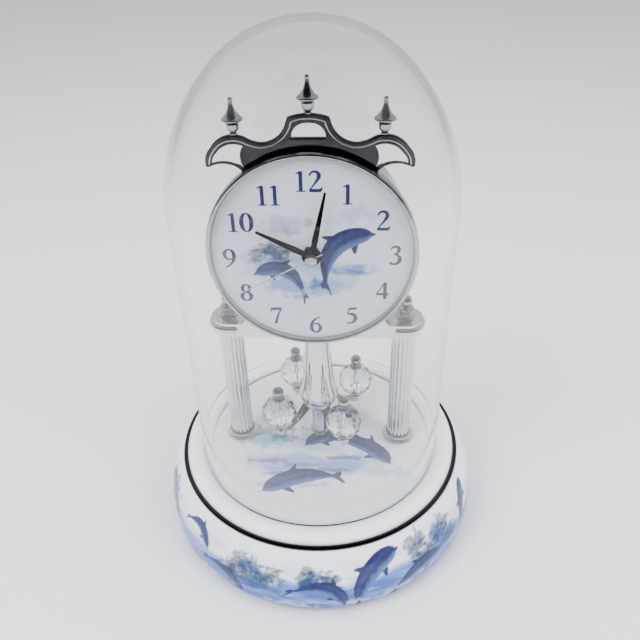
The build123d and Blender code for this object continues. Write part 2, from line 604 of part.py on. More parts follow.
def polygon_solid(faces):
    """A closed solid from flat faces, each given as a ring of points."""
    skins = [Face(Wire.make_polygon(ring, close=True)) for ring in faces]
    return Solid(Shell(skins))


# One arm, along +X: a ridged, tapering blade with a narrow waist, carrying a round seat.
SEAT_Z = 53.4
arm_stations = ((6.0, 3.6, 64.8, 60.6, 58.8), (13.5, 2.6, 55.2, 53.4, 51.6), (18.6, 3.0, 53.2, 51.2, 49.6))


def arm_section(station):
    r, half, ridge, side, keel = station
    return [(r, 0, ridge), (r, half, side), (r, 0, keel), (r, -half, side)]


arm_sections = [arm_section(s) for s in arm_stations]
arm_faces = [arm_sections[0][::-1], arm_sections[-1]]
for near, far in zip(arm_sections, arm_sections[1:]):
    for k in range(4):
        j = (k + 1) % 4
        arm_faces.append([near[k], near[j], far[j]])
        arm_faces.append([near[k], far[j], far[k]])
arm = polygon_solid(arm_faces)
seat = turned((0, 48.8), (1.6, 48.8), (2.6, 50.6), ((2.4, 52.2), (3.2, SEAT_Z)), (0, SEAT_Z))
arm += Pos(CRYSTAL_ORBIT, 0, 0) * seat

CRYSTAL_PIN_R = 0.6
hub = turned(
    (STEM_R + FIT, HUB_LOW), (7.0, HUB_LOW), ((8.7, 61.5), (9.1, HUB_TOP)), (STEM_R + FIT, HUB_TOP)
)
spider = hub
for angle in ARM_ANGLES:
    spider += Rot(0, 0, angle) * arm
spider -= rod_z(0, 0, STEM_R + FIT, HUB_LOW - 5, HUB_TOP + 1)
for angle in ARM_ANGLES:
    x, y = away((0, 0), CRYSTAL_ORBIT, angle)
    spider -= rod_z(x, y, CRYSTAL_PIN_R + FIT, 50.4, SEAT_Z + 1)
save("pendulum_spider", spider)

# A crystal ball: rings of flat triangles between two small tables.
FACETS = 8
crystal_rings = ((3.0, 7.7), (6.3, 5.4), (8.2, 1.9), (8.2, -1.9), (6.3, -5.4), (3.0, -7.7))


def crystal_ring(index, radius, height):
    points = []
    for k in range(FACETS):
        angle = 2 * math.pi * (k + index / 2) / FACETS
        points.append((radius * math.cos(angle), radius * math.sin(angle), height))
    return points


rings = [crystal_ring(i, r, h) for i, (r, h) in enumerate(crystal_rings)]
crystal_faces = [rings[0], rings[-1][::-1]]
for i in range(len(rings) - 1):
    upper, lower = rings[i], rings[i + 1]
    for k in range(FACETS):
        j = (k + 1) % FACETS
        crystal_faces.append([upper[k], lower[k], upper[j]])
        crystal_faces.append([lower[k], lower[j], upper[j]])
crystal = polygon_solid(crystal_faces)
crystal_low = CRYSTAL_Z - 7.7
crystal_high = CRYSTAL_Z + 7.7
crystal = Pos(0, 0, CRYSTAL_Z) * crystal - rod_z(0, 0, CRYSTAL_PIN_R + FIT, 50, 80)

collar = turned(
    (CRYSTAL_PIN_R + FIT, SEAT_Z), (3.2, SEAT_Z), ((2.5, 53.9), (2.6, crystal_low)),
    (CRYSTAL_PIN_R + FIT, crystal_low),
)
ball_nut = turned(
    (CRYSTAL_PIN_R + FIT, crystal_high), (2.9, crystal_high),
    ((3.0, crystal_high + 0.6), (2.2, crystal_high + 1.0)),
    ((1.6, crystal_high + 1.6), (1.75, crystal_high + 2.3)),
    ((2.6, crystal_high + 4.22), (TIP_R, crystal_high + 6.82)),
    (0, crystal_high + 6.82), (0, crystal_high + 4.0), (CRYSTAL_PIN_R + FIT, crystal_high + 4.0),
)
pins = []
collars = []
ball_nuts = []
words = ("back_right", "back_left", "front_left", "front_right")
for word, angle in zip(words, ARM_ANGLES):
    place = Rot(0, 0, angle) * Pos(CRYSTAL_ORBIT, 0, 0)
    save(f"crystal_ball_{word}", place * crystal)
    pins.append(place * rod_z(0, 0, CRYSTAL_PIN_R, 50.6, crystal_high + 3.9))
    collars.append(place * collar)
    ball_nuts.append(place * ball_nut)
save("crystal_pins", *pins)
save("crystal_collars", *collars)
save("crystal_ball_nuts", *ball_nuts)

# ---- glass dome ----
# Its cap is a crown arc that meets a wider shoulder arc, and the shoulder meets the straight wall.
CROWN_R = 50.0
crown_z = DOME_TOP_Z - CROWN_R
crown_up = crown_z - DOME_SHOULDER_Z
shoulder_r = (DOME_R**2 + crown_up**2 - CROWN_R**2) / (2 * (DOME_R - CROWN_R))
shoulder_x = DOME_R - shoulder_r
meet_angle = math.degrees(math.atan2(crown_up, -shoulder_x))


def dome_points(inset):
    """Points of the dome's outline, from the wall's top to the axis: two arcs as middle and end."""
    near, far = shoulder_r - inset, CROWN_R - inset
    wall_top = (DOME_R - inset, DOME_SHOULDER_Z)
    shoulder_middle = away((shoulder_x, DOME_SHOULDER_Z), near, meet_angle / 2)
    meet = away((shoulder_x, DOME_SHOULDER_Z), near, meet_angle)
    crown_middle = away((0, crown_z), far, (meet_angle + 90) / 2)
    return wall_top, shoulder_middle, meet, crown_middle, (TIP_R, crown_z + far)


outer_top, outer_a, outer_meet, outer_b, outer_tip = dome_points(0)
inner_top, inner_a, inner_meet, inner_b, inner_tip = dome_points(DOME_WALL)
dome_face = outline(
    (DOME_R, DOME_FOOT_Z), outer_top, (outer_a, outer_meet), (outer_b, outer_tip), (0, outer_tip[1]),
    (0, inner_tip[1]), inner_tip, (inner_b, inner_meet), (inner_a, inner_top),
    (DOME_R - DOME_WALL, DOME_FOOT_Z),
)
dome = revolve(Plane.XZ * dome_face, Axis.Z, 360)
save("glass_dome", dome)
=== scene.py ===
import math

import bpy
import numpy as np
from mathutils import Matrix, Vector


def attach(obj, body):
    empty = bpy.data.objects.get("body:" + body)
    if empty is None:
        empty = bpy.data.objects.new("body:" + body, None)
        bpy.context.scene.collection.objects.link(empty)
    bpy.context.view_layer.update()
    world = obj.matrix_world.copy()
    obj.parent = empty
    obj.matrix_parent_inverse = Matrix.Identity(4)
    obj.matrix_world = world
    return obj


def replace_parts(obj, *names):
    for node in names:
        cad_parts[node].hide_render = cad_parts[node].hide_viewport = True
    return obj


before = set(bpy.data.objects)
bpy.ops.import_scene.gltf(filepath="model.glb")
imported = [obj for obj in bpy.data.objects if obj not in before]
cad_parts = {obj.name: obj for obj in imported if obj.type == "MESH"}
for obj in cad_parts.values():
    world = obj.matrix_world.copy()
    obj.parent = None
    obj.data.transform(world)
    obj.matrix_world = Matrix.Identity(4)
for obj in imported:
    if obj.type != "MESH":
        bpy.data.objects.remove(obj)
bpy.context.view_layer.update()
MM = 0.001


# ---- colours ----
def linear(*srgb):
    """An sRGB colour of 0-255 as a linear one."""
    return tuple((c / 255 / 12.92) if c <= 10 else ((c / 255 + 0.055) / 1.055) ** 2.4 for c in srgb)


# ---- shader nodes, for materials and for the world ----
def two_stop_ramp(tree, fac, low, high):
    """A colour ramp between two stops, each a (position, colour)."""
    ramp = tree.nodes.new("ShaderNodeValToRGB")
    for element, (at, colour) in zip(ramp.color_ramp.elements, (low, high)):
        element.position = at
        element.color = (*colour, 1)
    tree.links.new(fac, ramp.inputs[0])
    return ramp.outputs[0]


def remapped(tree, value, old, new=(0, 1)):
    """A value moved from one span of numbers to another."""
    span = tree.nodes.new("ShaderNodeMapRange")
    for socket, number in zip(("From Min", "From Max", "To Min", "To Max"), (*old, *new)):
        span.inputs[socket].default_value = number
    tree.links.new(value, span.inputs["Value"])
    return span.outputs[0]


NOISE_SPAN = (0.3, 0.7)         # where most of a noise's values lie
MOTTLE_STOPS = (0.35, 0.65)     # where a mottled colour starts and ends


class Shader:
    """One material, with short ways to add the nodes that its detail needs."""

    def __init__(self, name, colour, rough=0.4, metal=0.0, **sockets):
        self.mat = bpy.data.materials.new(name)
        self.mat.use_nodes = True
        self.tree = self.mat.node_tree
        self.bsdf = self.tree.nodes["Principled BSDF"]
        self.out = self.tree.nodes["Material Output"]
        self.set("Base Color", (*colour, 1))
        self.set("Roughness", rough)
        self.set("Metallic", metal)
        for key, value in sockets.items():
            self.set(key.replace("_", " "), value)
        self.place = self.tree.nodes.new("ShaderNodeTexCoord").outputs["Object"]

    def set(self, socket, value):
        self.bsdf.inputs[socket].default_value = value

    def node(self, kind, **values):
        made = self.tree.nodes.new(kind)
        for key, value in values.items():
            setattr(made, key, value)
        return made

    def link(self, a, b):
        self.tree.links.new(a, b)

    def stretched(self, scale):
        """Object coordinates times a scale, for a grain with a direction."""
        mapping = self.node("ShaderNodeMapping")
        mapping.inputs["Scale"].default_value = scale
        self.link(self.place, mapping.inputs["Vector"])
        return mapping.outputs[0]

    def noise(self, scale, detail=4.0, stretch=None):
        tex = self.node("ShaderNodeTexNoise")
        tex.inputs["Scale"].default_value = scale
        tex.inputs["Detail"].default_value = detail
        self.link(self.stretched(stretch) if stretch else self.place, tex.inputs["Vector"])
        return tex.outputs["Fac"]

    def ramp(self, fac, low, high):
        return two_stop_ramp(self.tree, fac, low, high)

    def mottle(self, fac, low, high):
        """Base colour that wanders between two colours."""
        self.link(self.ramp(fac, *zip(MOTTLE_STOPS, (low, high))), self.bsdf.inputs["Base Color"])

    def haze(self, fac, low, high):
        """Roughness that wanders between two values."""
        self.link(remapped(self.tree, fac, NOISE_SPAN, (low, high)), self.bsdf.inputs["Roughness"])

    def bump(self, height, strength, distance=0.0001):
        bump = self.node("ShaderNodeBump")
        bump.inputs["Strength"].default_value = strength
        bump.inputs["Distance"].default_value = distance
        self.link(height, bump.inputs["Height"])
        self.link(bump.outputs[0], self.bsdf.inputs["Normal"])

    def lets_lamps_through(self, tint):
        """Glass that light from the lamps passes straight through."""
        clear = self.node("ShaderNodeBsdfTransparent")
        clear.inputs[0].default_value = (*tint, 1)
        path = self.node("ShaderNodeLightPath")
        mix = self.node("ShaderNodeMixShader")
        self.link(path.outputs["Is Shadow Ray"], mix.inputs[0])
        self.link(self.bsdf.outputs[0], mix.inputs[1])
        self.link(clear.outputs[0], mix.inputs[2])
        self.link(mix.outputs[0], self.out.inputs["Surface"])


def metal(name, colour, rough=(0.03, 0.09), stretch=None, bump=0.03):
    m = Shader(name, colour, metal=1.0)
    m.haze(m.noise(240, 5, stretch), *rough)
    m.mottle(m.noise(60, 3), tuple(c * 0.93 for c in colour), tuple(min(1, c * 1.05) for c in colour))
    m.bump(m.noise(900, 3, stretch), bump, 0.00003)
    return m.mat


chrome = metal("bright_chrome", (0.62, 0.62, 0.61))
# The same chrome, darker: a painted darker reflection for the finials, bezel, ball nuts and collars.
chrome_painted_darker = metal("chrome_painted_darker_reflection", (0.36, 0.36, 0.37), (0.03, 0.07))
# Chrome made brighter and streaked: a painted highlight, the reflection of a bright lamp panel on the crest's
# wing plates.
wing_painted_highlight = metal("crest_wing_painted_highlight", (0.86, 0.87, 0.89), (0.10, 0.22), (1, 1, 9), 0.25)
# The crest is chrome: its near-black colour is a painted dark reflection of the room in front of it.
crest_dark_reflection_chrome = metal("crest_chrome_painted_dark_reflection", (0.045, 0.042, 0.05), (0.03, 0.07))
steel = metal("plain_steel", (0.42, 0.43, 0.45), (0.22, 0.42), (1, 1, 12), 0.2)
copper = metal("winding_wire", (0.72, 0.30, 0.13), (0.2, 0.4), (30, 1, 30), 0.6)


def plastic(name, low, high, rough, grit=0.15, gloss=0.5):
    m = Shader(name, low, Specular_IOR_Level=gloss)
    m.mottle(m.noise(180, 5), low, high)
    m.haze(m.noise(420, 4), *rough)
    m.bump(m.noise(2600, 2), grit, 0.00005)
    return m.mat


black_plastic = plastic("moulded_black", (0.012, 0.012, 0.013), (0.022, 0.022, 0.024), (0.42, 0.6))
white_plastic = plastic("moulded_acetal", (0.78, 0.78, 0.75), (0.86, 0.86, 0.84), (0.32, 0.48), 0.06)
board_green = plastic("solder_mask", (0.012, 0.10, 0.035), (0.02, 0.16, 0.06), (0.22, 0.4))
hand_black = plastic(
    "black_hand_paint", (0.001, 0.001, 0.0015), (0.002, 0.002, 0.003), (0.5, 0.6), 0.03, 0.08
)
fibreboard = plastic("pressed_board", (0.16, 0.10, 0.055), (0.26, 0.17, 0.10), (0.75, 0.95), 0.8, 0.2)
felt = plastic("blue_felt", (0.008, 0.016, 0.06), (0.02, 0.035, 0.11), (0.9, 1.0), 1.0, 0.1)


def battery_material():
    """A dark wrap with a pale end, split across the cell's length."""
    m = Shader("battery_wrap", (0.05, 0.055, 0.065), Coat_Weight=0.4)
    split = m.node("ShaderNodeSeparateXYZ")
    m.link(m.place, split.inputs[0])
    band = m.ramp(split.outputs[0], (0.0, (0.055, 0.06, 0.07)), (0.012, (0.62, 0.63, 0.65)))
    m.link(band, m.bsdf.inputs["Base Color"])
    m.haze(m.noise(300, 3), 0.2, 0.34)
    m.bump(m.noise(700, 3), 0.1)
    return m.mat


def glass(name, colour, ior, ripple, tint, gloss):
    m = Shader(name, colour, rough=0.0, Transmission_Weight=1.0, IOR=ior, Specular_IOR_Level=gloss)
    m.bump(m.noise(14, 2), ripple, 0.0004)
    m.lets_lamps_through(tint)
    return m.mat


dome_glass = glass("blown_dome_glass", (0.975, 0.99, 0.985), 1.45, 0.012, (0.98, 0.985, 0.985), 0.3)
crystal_glass = glass("lead_crystal", (0.99, 0.99, 1.0), 1.62, 0.0, (0.90, 0.91, 0.93), 0.5)


def painted(name, rough, coat):
    """Paint under a clear glaze: its colours are the piece's own painted layer."""
    m = Shader(name, (1, 1, 1), rough, Coat_Weight=coat, Coat_Roughness=0.03, Specular_IOR_Level=0.22)
    layer = m.node("ShaderNodeAttribute", attribute_name="paint")
    speck = m.ramp(m.noise(1500, 3), (0.35, (0.955, 0.96, 0.975)), (0.62, (1, 1, 1)))
    mix = m.node("ShaderNodeMix", data_type="RGBA", blend_type="MULTIPLY")
    mix.inputs[0].default_value = 1.0
    m.link(layer.outputs["Color"], mix.inputs[6])
    m.link(speck, mix.inputs[7])
    m.link(mix.outputs[2], m.bsdf.inputs["Base Color"])
    m.haze(m.noise(90, 3), rough * 0.8, rough * 1.25)
    m.bump(m.noise(55, 3), 0.05, 0.0002)
    return m.mat


porcelain = painted("glazed_porcelain", 0.16, 0.12)
dial_paint = painted("printed_dial", 0.34, 0.15)


def numeral_material():
    m = Shader("numeral_ink", linear(8, 14, 76), rough=0.4)
    m.mottle(m.noise(900, 4), linear(6, 12, 68), linear(12, 22, 90))
    m.haze(m.noise(400, 2), 0.3, 0.45)
    return m.mat


numeral_ink = numeral_material()

# ---- the CAD nodes that keep their meshes get these materials ----
LOOKS = {
    chrome: (
        "guide_eyelet pillar_feet pillar_left pillar_right platform case_drum rear_cover "
        "pendulum_column pendulum_stem pendulum_spider"
    ),
    chrome_painted_darker: "pillar_finials crest_finials bezel crystal_ball_nuts crystal_collars",
    # The trim ring is bright metal: its near-black colour is a painted dark reflection of the room in front
    # of it.
    metal("trim_ring_painted_dark_reflection", (0.045, 0.045, 0.05), (0.05, 0.1)): "base_trim_ring",
    steel: (
        "tie_rods rod_washers rod_nuts crest_screws case_bolts case_bolt_nuts stator battery_contacts "
        "pendulum_shaft pendulum_magnet crystal_pins second_hand"
    ),
    black_plastic: "centre_nut movement_front_plate movement_rear_shell pendulum_drive_case setting_knob",
    white_plastic: (
        "pillar_gaskets train_bridge pendulum_bearing cannon_tube centre_wheel hour_wheel second_wheel "
        "motion_wheel third_wheel intermediate_wheel rotor"
    ),
    hand_black: "minute_hand hour_hand",
    copper: "drive_coil pendulum_coil",
    board_green: "circuit_board",
    fibreboard: "base_bottom_board",
    felt: "base_felt",
    battery_material(): "battery",
    crystal_glass: (
        "crystal_ball_back_right crystal_ball_back_left crystal_ball_front_left crystal_ball_front_right"
    ),
}
for mat, names in LOOKS.items():
    for name in names.split():
        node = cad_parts[name]
        node.data.materials.clear()
        node.data.materials.append(mat)


# ---- painting: soft brushes over a sheet of points, in millimetres ----
HASH_I, HASH_J, HASH_SEED, HASH_GAIN = 127.1, 311.7, 74.7, 43758.5453


def lattice(i, j, seed):
    """A fixed value from 0 to 1 for each whole-number point."""
    value = np.sin(i * HASH_I + j * HASH_J + seed * HASH_SEED) * HASH_GAIN
    return value - np.floor(value)


def ease(t):
    return t * t * (3 - 2 * t)


def blend(a, b, t):
    return a * (1 - t) + b * t


def grain(p, scale, seed, octaves=4):
    """Soft noise from 0 to 1 over points (N, 2)."""
    total = np.zeros(len(p))
    size = 0.0
    for k in range(octaves):
        q = p * np.array(scale) * 2**k + seed * 7.3
        cell = np.floor(q)
        fx, fy = ease(q - cell).T
        i, j = cell.T
        low = blend(lattice(i, j, seed + k), lattice(i + 1, j, seed + k), fx)
        high = blend(lattice(i, j + 1, seed + k), lattice(i + 1, j + 1, seed + k), fx)
        total += blend(low, high, fy) * 0.5**k
        size += 0.5**k
    return total / size


def fade(x, full, gone):
    """1 at full, falling smoothly to 0 at gone."""
    return ease(np.clip((x - gone) / (full - gone), 0, 1))


FAR_OFF = 1e9


def polygon_distance(x, y, corners):
    """Signed distance to a polygon, negative inside."""
    best = np.full(len(x), FAR_OFF)
    inside = np.zeros(len(x), bool)
    for (ax, ay), (bx, by) in zip(corners, corners[1:] + corners[:1]):
        ex, ey = bx - ax, by - ay
        t = np.clip(((x - ax) * ex + (y - ay) * ey) / (ex * ex + ey * ey), 0, 1)
        best = np.minimum(best, np.hypot(x - ax - t * ex, y - ay - t * ey))
        crosses = (ay > y) != (by > y)
        at = ax + (y - ay) * ex / (ey or 1e-9)
        inside ^= crosses & (x < at)
    return np.where(inside, -best, best)


# The paints.
DEEP = linear(22, 22, 92)
NAVY = linear(8, 8, 44)
MID = linear(28, 60, 150)
WASH = linear(84, 126, 212)
PALE = linear(168, 194, 240)
LILAC = linear(160, 158, 200)
TEAL = linear(0, 62, 92)
AQUA = linear(60, 176, 204)
WHITE = linear(240, 243, 249)
DIAL_GROUND = linear(228, 233, 246)

# A dolphin of length 1, tail at 0: its half width along the spine, then its fins as outlines about the spine.
BODY = (
    (0, 0.026), (0.07, 0.044), (0.18, 0.080), (0.32, 0.118), (0.46, 0.138), (0.60, 0.144),
    (0.72, 0.138), (0.81, 0.122), (0.86, 0.104), (0.895, 0.078), (0.92, 0.044), (0.95, 0.030), (0.975, 0.018),
)
BACK_FIN = ((0.64, 0.10), (0.56, 0.16), (0.475, 0.235), (0.45, 0.225), (0.47, 0.16), (0.45, 0.10))
SIDE_FIN = ((0.77, -0.08), (0.70, -0.17), (0.60, -0.26), (0.575, -0.245), (0.61, -0.16), (0.65, -0.09))
UPPER_FLUKE = ((0.05, 0.02), (-0.02, 0.06), (-0.08, 0.12), (-0.12, 0.11), (-0.085, 0.02), (-0.03, -0.02))
LOWER_FLUKE = ((0.05, -0.02), (-0.03, -0.06), (-0.08, -0.10), (-0.12, -0.08), (-0.085, 0.0), (-0.03, 0.02))
BODY_STEPS = 66
PAINT_EDGE = 0.16       # half width of a dolphin's soft edge


class Canvas:
    """Painted points. With a girth, the first coordinate runs round and closes on itself."""

    def __init__(self, points, girth=None):
        self.p = points
        self.girth = girth
        self.colour = np.tile(np.array(WHITE), (len(points), 1))

    def around(self, centre, reach):
        q = self.p - np.array(centre, float)
        if self.girth:
            q[:, 0] = (q[:, 0] + self.girth / 2) % self.girth - self.girth / 2
        keep = np.nonzero(np.abs(q).max(1) < reach)[0]
        return keep, q[keep]

    def lay(self, keep, mask, colour):
        self.colour[keep] = blend(self.colour[keep], np.asarray(colour), np.clip(mask, 0, 1)[:, None])

    def wash(self, centre, size, colour, strength, ragged, seed, scale=0.25):
        """A soft patch of colour: ragged is how torn its edge is, and scale how fine its streaks are."""
        keep, q = self.around(centre, 1.6 * max(size))
        far = np.hypot(q[:, 0] / size[0], q[:, 1] / size[1])
        far += ragged * 2 * (grain(q, scale, seed) - 0.5)
        streaks = 0.72 + 0.56 * (grain(q, (scale * 0.6, scale * 5), seed + 3) - 0.5)
        self.lay(keep, fade(far, 0.45, 1.0) * strength * streaks, colour)

    def line(self, centre, points, colour, strength, soft):
        """A brush line through (x, y, half width) points."""
        points = np.array(points, float)
        steps = np.linspace(0, len(points) - 1, 6 * len(points))
        track = np.stack([np.interp(steps, np.arange(len(points)), points[:, k]) for k in range(3)], 1)
        keep, q = self.around(centre, np.abs(points[:, :2]).max() + 2)
        far = np.full(len(q), FAR_OFF)
        for x, y, w in track:
            far = np.minimum(far, np.hypot(q[:, 0] - x, q[:, 1] - y) - w)
        self.lay(keep, fade(far, -soft, soft) * strength, colour)

    def dolphin(self, centre, length, angle, flip, arch, strength=1.0, seed=1):
        """A leaping dolphin: angle is how far its nose points up, and flip -1 makes it face left."""
        keep, q = self.around(centre, 0.85 * length)
        c, s = math.cos(math.radians(angle)), math.sin(math.radians(angle))
        u = (q[:, 0] * flip * c + q[:, 1] * s) / length + 0.5
        v = (-q[:, 0] * flip * s + q[:, 1] * c) / length

        def spine(at):
            return arch * (4 * at * (1 - at) - 0.66)

        far = np.full(len(q), FAR_OFF)
        side = np.zeros(len(q))
        for at in np.linspace(0, BODY[-1][0], BODY_STEPS):
            w = np.interp(at, *zip(*BODY))
            d = np.hypot(u - at, v - spine(at)) - w
            closer = d < far
            far = np.where(closer, d, far)
            side = np.where(closer, (v - spine(at)) / w, side)
        shape = far
        for fin in (BACK_FIN, SIDE_FIN, UPPER_FLUKE, LOWER_FLUKE):
            shape = np.minimum(shape, polygon_distance(u, v, [(a, spine(a) + b) for a, b in fin]))
        speck = grain(q, 0.5, seed)
        belly = fade(side + 0.6 * (speck - 0.5), -0.9, -0.1) * (far < 0.004) * 0.7
        glint = fade(np.abs(side - 0.30), 0.0, 0.45) * (far < 0) * 0.64 * speck
        speck, belly, glint = (layer[:, None] for layer in (speck, belly, glint))
        body = blend(np.array(NAVY), np.array(DEEP), speck)
        body = blend(body, np.array(WASH) * (0.62 + 0.5 * speck), belly)
        body = blend(body, np.array(MID), glint)
        self.lay(keep, fade(shape * length, -PAINT_EDGE, PAINT_EDGE) * strength, body)

    def island(self, centre, width, height, seed, strength=1.0):
        """A wooded island: clumps of windswept leaves on thin trunks, over their own dark shore."""
        x0, y0 = centre
        self.wash((x0, y0 - 0.38 * height), (width * 0.62, height * 0.20), DEEP, 0.75 * strength, 0.5, seed)
        for k in range(9):
            step = (k % 5 - 2) / 2
            x = x0 + step * width * 0.38 + 0.8 * math.sin(seed + 5 * k)
            y = y0 + height * (0.20 * math.sin(seed * 1.7 + 2.4 * k) - 0.02 + (0.16 if k > 4 else -0.08))
            self.line((x, y), [(0, 0, 0.16), (0.25, -0.30 * height, 0.22)], DEEP, 0.7 * strength, 0.3)
            leaf = (TEAL, DEEP, TEAL, MID)[k % 4]
            size = (width * (0.21 + 0.03 * math.sin(3 * k + seed)), height * 0.30)
            self.wash((x, y), size, leaf, 0.95 * strength, 0.8, seed + k, 0.5)
            under = (size[0] * 0.7, size[1] * 0.6)
            self.wash((x + 0.5, y - 0.1 * height), under, TEAL, 0.5 * strength, 1.0, seed + k + 20, 0.8)
        for k in range(12):
            x = x0 + width * (-0.42 + 0.075 * k)
            y = y0 + height * (0.10 + 0.16 * math.sin(seed + 2.2 * k))
            leaf = [(-0.6, 0, 0.2), (0.9, 0.8, 0.55), (2.4, 0.5, 0.12)]
            self.line((x, y), leaf, (TEAL, DEEP)[k % 2], 0.7 * strength, 0.5)


def grid_piece(name, profile, turns, body, material, paint=None):
    """A lathed mesh from a closed profile of (radius, height). Paint gives its points their colours."""
    n = len(profile)
    angles = np.linspace(0, 2 * math.pi, turns, endpoint=False)
    r = np.array([p[0] for p in profile])
    h = np.array([p[1] for p in profile])
    co = np.empty((turns, n, 3))
    co[:, :, 0] = np.cos(angles)[:, None] * r
    co[:, :, 1] = np.sin(angles)[:, None] * r
    co[:, :, 2] = h
    colour = paint(np.repeat(angles, n), np.tile(r, turns), np.tile(h, turns)) if paint else None
    index = np.arange(turns * n).reshape(turns, n)
    nxt = np.roll(index, -1, 0)
    faces = np.stack([index, nxt, np.roll(nxt, -1, 1), np.roll(index, -1, 1)], -1).reshape(-1, 4)
    return mesh_piece(name, co.reshape(-1, 3), faces, body, material, colour)


def mesh_piece(name, points, faces, body, material, colour=None):
    """A piece from points in millimetres."""
    mesh = bpy.data.meshes.new(name)
    mesh.from_pydata((np.asarray(points, float) * MM).tolist(), [], np.asarray(faces).tolist())
    mesh.update()
    mesh.shade_smooth()
    if colour is not None:
        layer = mesh.color_attributes.new("paint", "FLOAT_COLOR", "POINT")
        rgba = np.concatenate([colour, np.ones((len(colour), 1))], 1)
        layer.data.foreach_set("color", rgba.astype(np.float32).ravel())
    mesh.materials.append(material)
    piece = bpy.data.objects.new(name, mesh)
    bpy.context.collection.objects.link(piece)
    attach(piece, body)
    return piece


def arc(start, middle, end, steps):
    """Points along the arc through three points, without the first."""
    (ax, ay), (bx, by), (cx, cy) = start, middle, end
    d = 2 * (ax * (by - cy) + bx * (cy - ay) + cx * (ay - by))
    a2, b2, c2 = ax * ax + ay * ay, bx * bx + by * by, cx * cx + cy * cy
    ux = (a2 * (by - cy) + b2 * (cy - ay) + c2 * (ay - by)) / d
    uy = (a2 * (cx - bx) + b2 * (ax - cx) + c2 * (bx - ax)) / d
    r = math.hypot(ax - ux, ay - uy)
    one, two, three = (math.atan2(y - uy, x - ux) for x, y in (start, middle, end))
    turn = (three - one) % (2 * math.pi)
    if (two - one) % (2 * math.pi) > turn:
        turn -= 2 * math.pi
    angles = [one + turn * k / steps for k in range(1, steps + 1)]
    return [(ux + r * math.cos(t), uy + r * math.sin(t)) for t in angles]


def profile_of(start, *steps, pitch):
    """Points along an outline of lines and arcs, about a pitch apart."""
    points = [start]
    for step in steps:
        here = points[-1]
        if isinstance(step[0], tuple):
            length = math.dist(here, step[0]) + math.dist(step[0], step[1])
            points += arc(here, step[0], step[1], max(3, round(length / pitch)))
        else:
            count = max(1, round(math.dist(here, step) / pitch))
            for k in range(1, count + 1):
                points.append(tuple(a + (b - a) * k / count for a, b in zip(here, step)))
    return points[:-1] if math.dist(points[0], points[-1]) < 1e-6 else points


# ---- porcelain base, with its painted frieze and deck ----
SIDE_R = 72.0           # the radius at which the frieze is drawn flat
FRIEZE_FROM_R = 66.8
DECK_Z = 36.8
DECK_R = 54.2
CREASE_Z = 33.9
FOOT_Z = 0.9            # unglazed below this height
FRIEZE_ISLANDS = (      # theta, z, width, height, seed
    (-111, 20.5, 27, 16, 3), (-88, 23, 17, 11, 7), (-43, 22, 28, 17, 5), (-160, 21, 22, 15, 9),
)
FRIEZE_DOLPHINS = (     # theta, z, length, angle, flip, arch
    (-135, 25.0, 17, -22, 1, 0.32), (-168, 18, 24, 58, 1, 0.16), (-121, 12.5, 21, -28, 1, 0.22),
    (-85.5, 15.5, 24, -28, 1, 0.36), (-69.5, 20.5, 31, 50, 1, 0.24), (-52, 13, 27, 18, 1, 0.18),
    (-23, 22, 22, 62, 1, 0.14),
)
FRIEZE_FOAM = ((-76, 8, 7), (-97, 7, 12), (-60, 8, 10), (-130, 6, 12), (-30, 9, 9))     # theta, z, width


def side_at(theta, z):
    return math.radians(theta) * SIDE_R, z


def paint_frieze(canvas):
    """The sea round the side: sky, water, islands, dolphins and foam. The scene is painted twice round."""
    x, z = canvas.p.T
    turn = np.stack([np.cos(x / SIDE_R), np.sin(x / SIDE_R)], 1) * SIDE_R
    lap = grain(turn, 0.05, 4)
    rough = grain(turn + np.stack([0.31 * z, 5 * z], 1), 0.10, 5, 5)
    everywhere = np.arange(len(x))
    sky = fade(rough, 0.62, 0.40) * fade(z, 20, 33)
    canvas.lay(everywhere, sky * 0.45, LILAC)
    water = fade(z + 8 * (lap - 0.5) + 3 * (rough - 0.5), 16.5, 21.5)
    canvas.lay(everywhere, water * 0.95, WASH)
    canvas.lay(everywhere, water * (0.12 + 0.5 * fade(rough, 0.68, 0.42)), MID)
    low = fade(z + 5 * (lap - 0.5), 3.5, 9.5)
    canvas.lay(everywhere, low * fade(rough, 0.60, 0.38) * 0.55, DEEP)
    canvas.lay(everywhere, water * fade(rough, 0.30, 0.37) * 0.4, PALE)
    for start in (0, 180):
        for theta, height, *shape, seed in FRIEZE_ISLANDS:
            canvas.island(side_at(theta + start, height), *shape, seed + start)
        for theta, height, *shape in FRIEZE_DOLPHINS:
            canvas.dolphin(side_at(theta + start, height), *shape, 0.97, int(theta) % 7)
        for theta, height, width in FRIEZE_FOAM:
            canvas.wash(side_at(theta + start, height), (width, 1.6), PALE, 0.9, 0.9, width, 0.5)


def paint_deck(canvas):
    canvas.wash((-4, -20), (36, 8), WASH, 0.85, 0.7, 2, 0.08)
    canvas.wash((8, -6), (34, 7), PALE, 0.75, 0.7, 4, 0.1)
    canvas.wash((-24, -4), (15, 7), AQUA, 0.9, 0.8, 6, 0.25)
    canvas.wash((-20, 1), (13, 5), TEAL, 0.75, 1.0, 8, 0.4)
    canvas.wash((-18, -4), (9, 2.6), TEAL, 0.8, 1.1, 9, 0.5)
    canvas.wash((0, 12), (30, 8), LILAC, 0.5, 0.8, 12, 0.12)
    canvas.wash((26, -24), (16, 5), WASH, 0.5, 0.8, 15, 0.2)
    waves = ((-24, -19, 11), (-8, -21, 13), (9, -24, 10), (-20, -27, 10), (14, -16, 16))
    for k, (x, y, w) in enumerate(waves):
        canvas.wash((x, y), (w, 1.7), MID if k % 2 else DEEP, 0.75, 0.8, 20 + k, 0.35)
    canvas.dolphin((7.0, -2.5), 30, -8, -1, 0.22)
    canvas.dolphin((22.5, -9.0), 31, -30, 1, 0.16, 1.0, 3)
    canvas.wash((-8, -33.5), (20, 2.8), MID, 0.5, 0.7, 31, 0.3)
    canvas.dolphin((-9.0, -30.0), 34, -17, -1, 0.13, 0.97, 5)


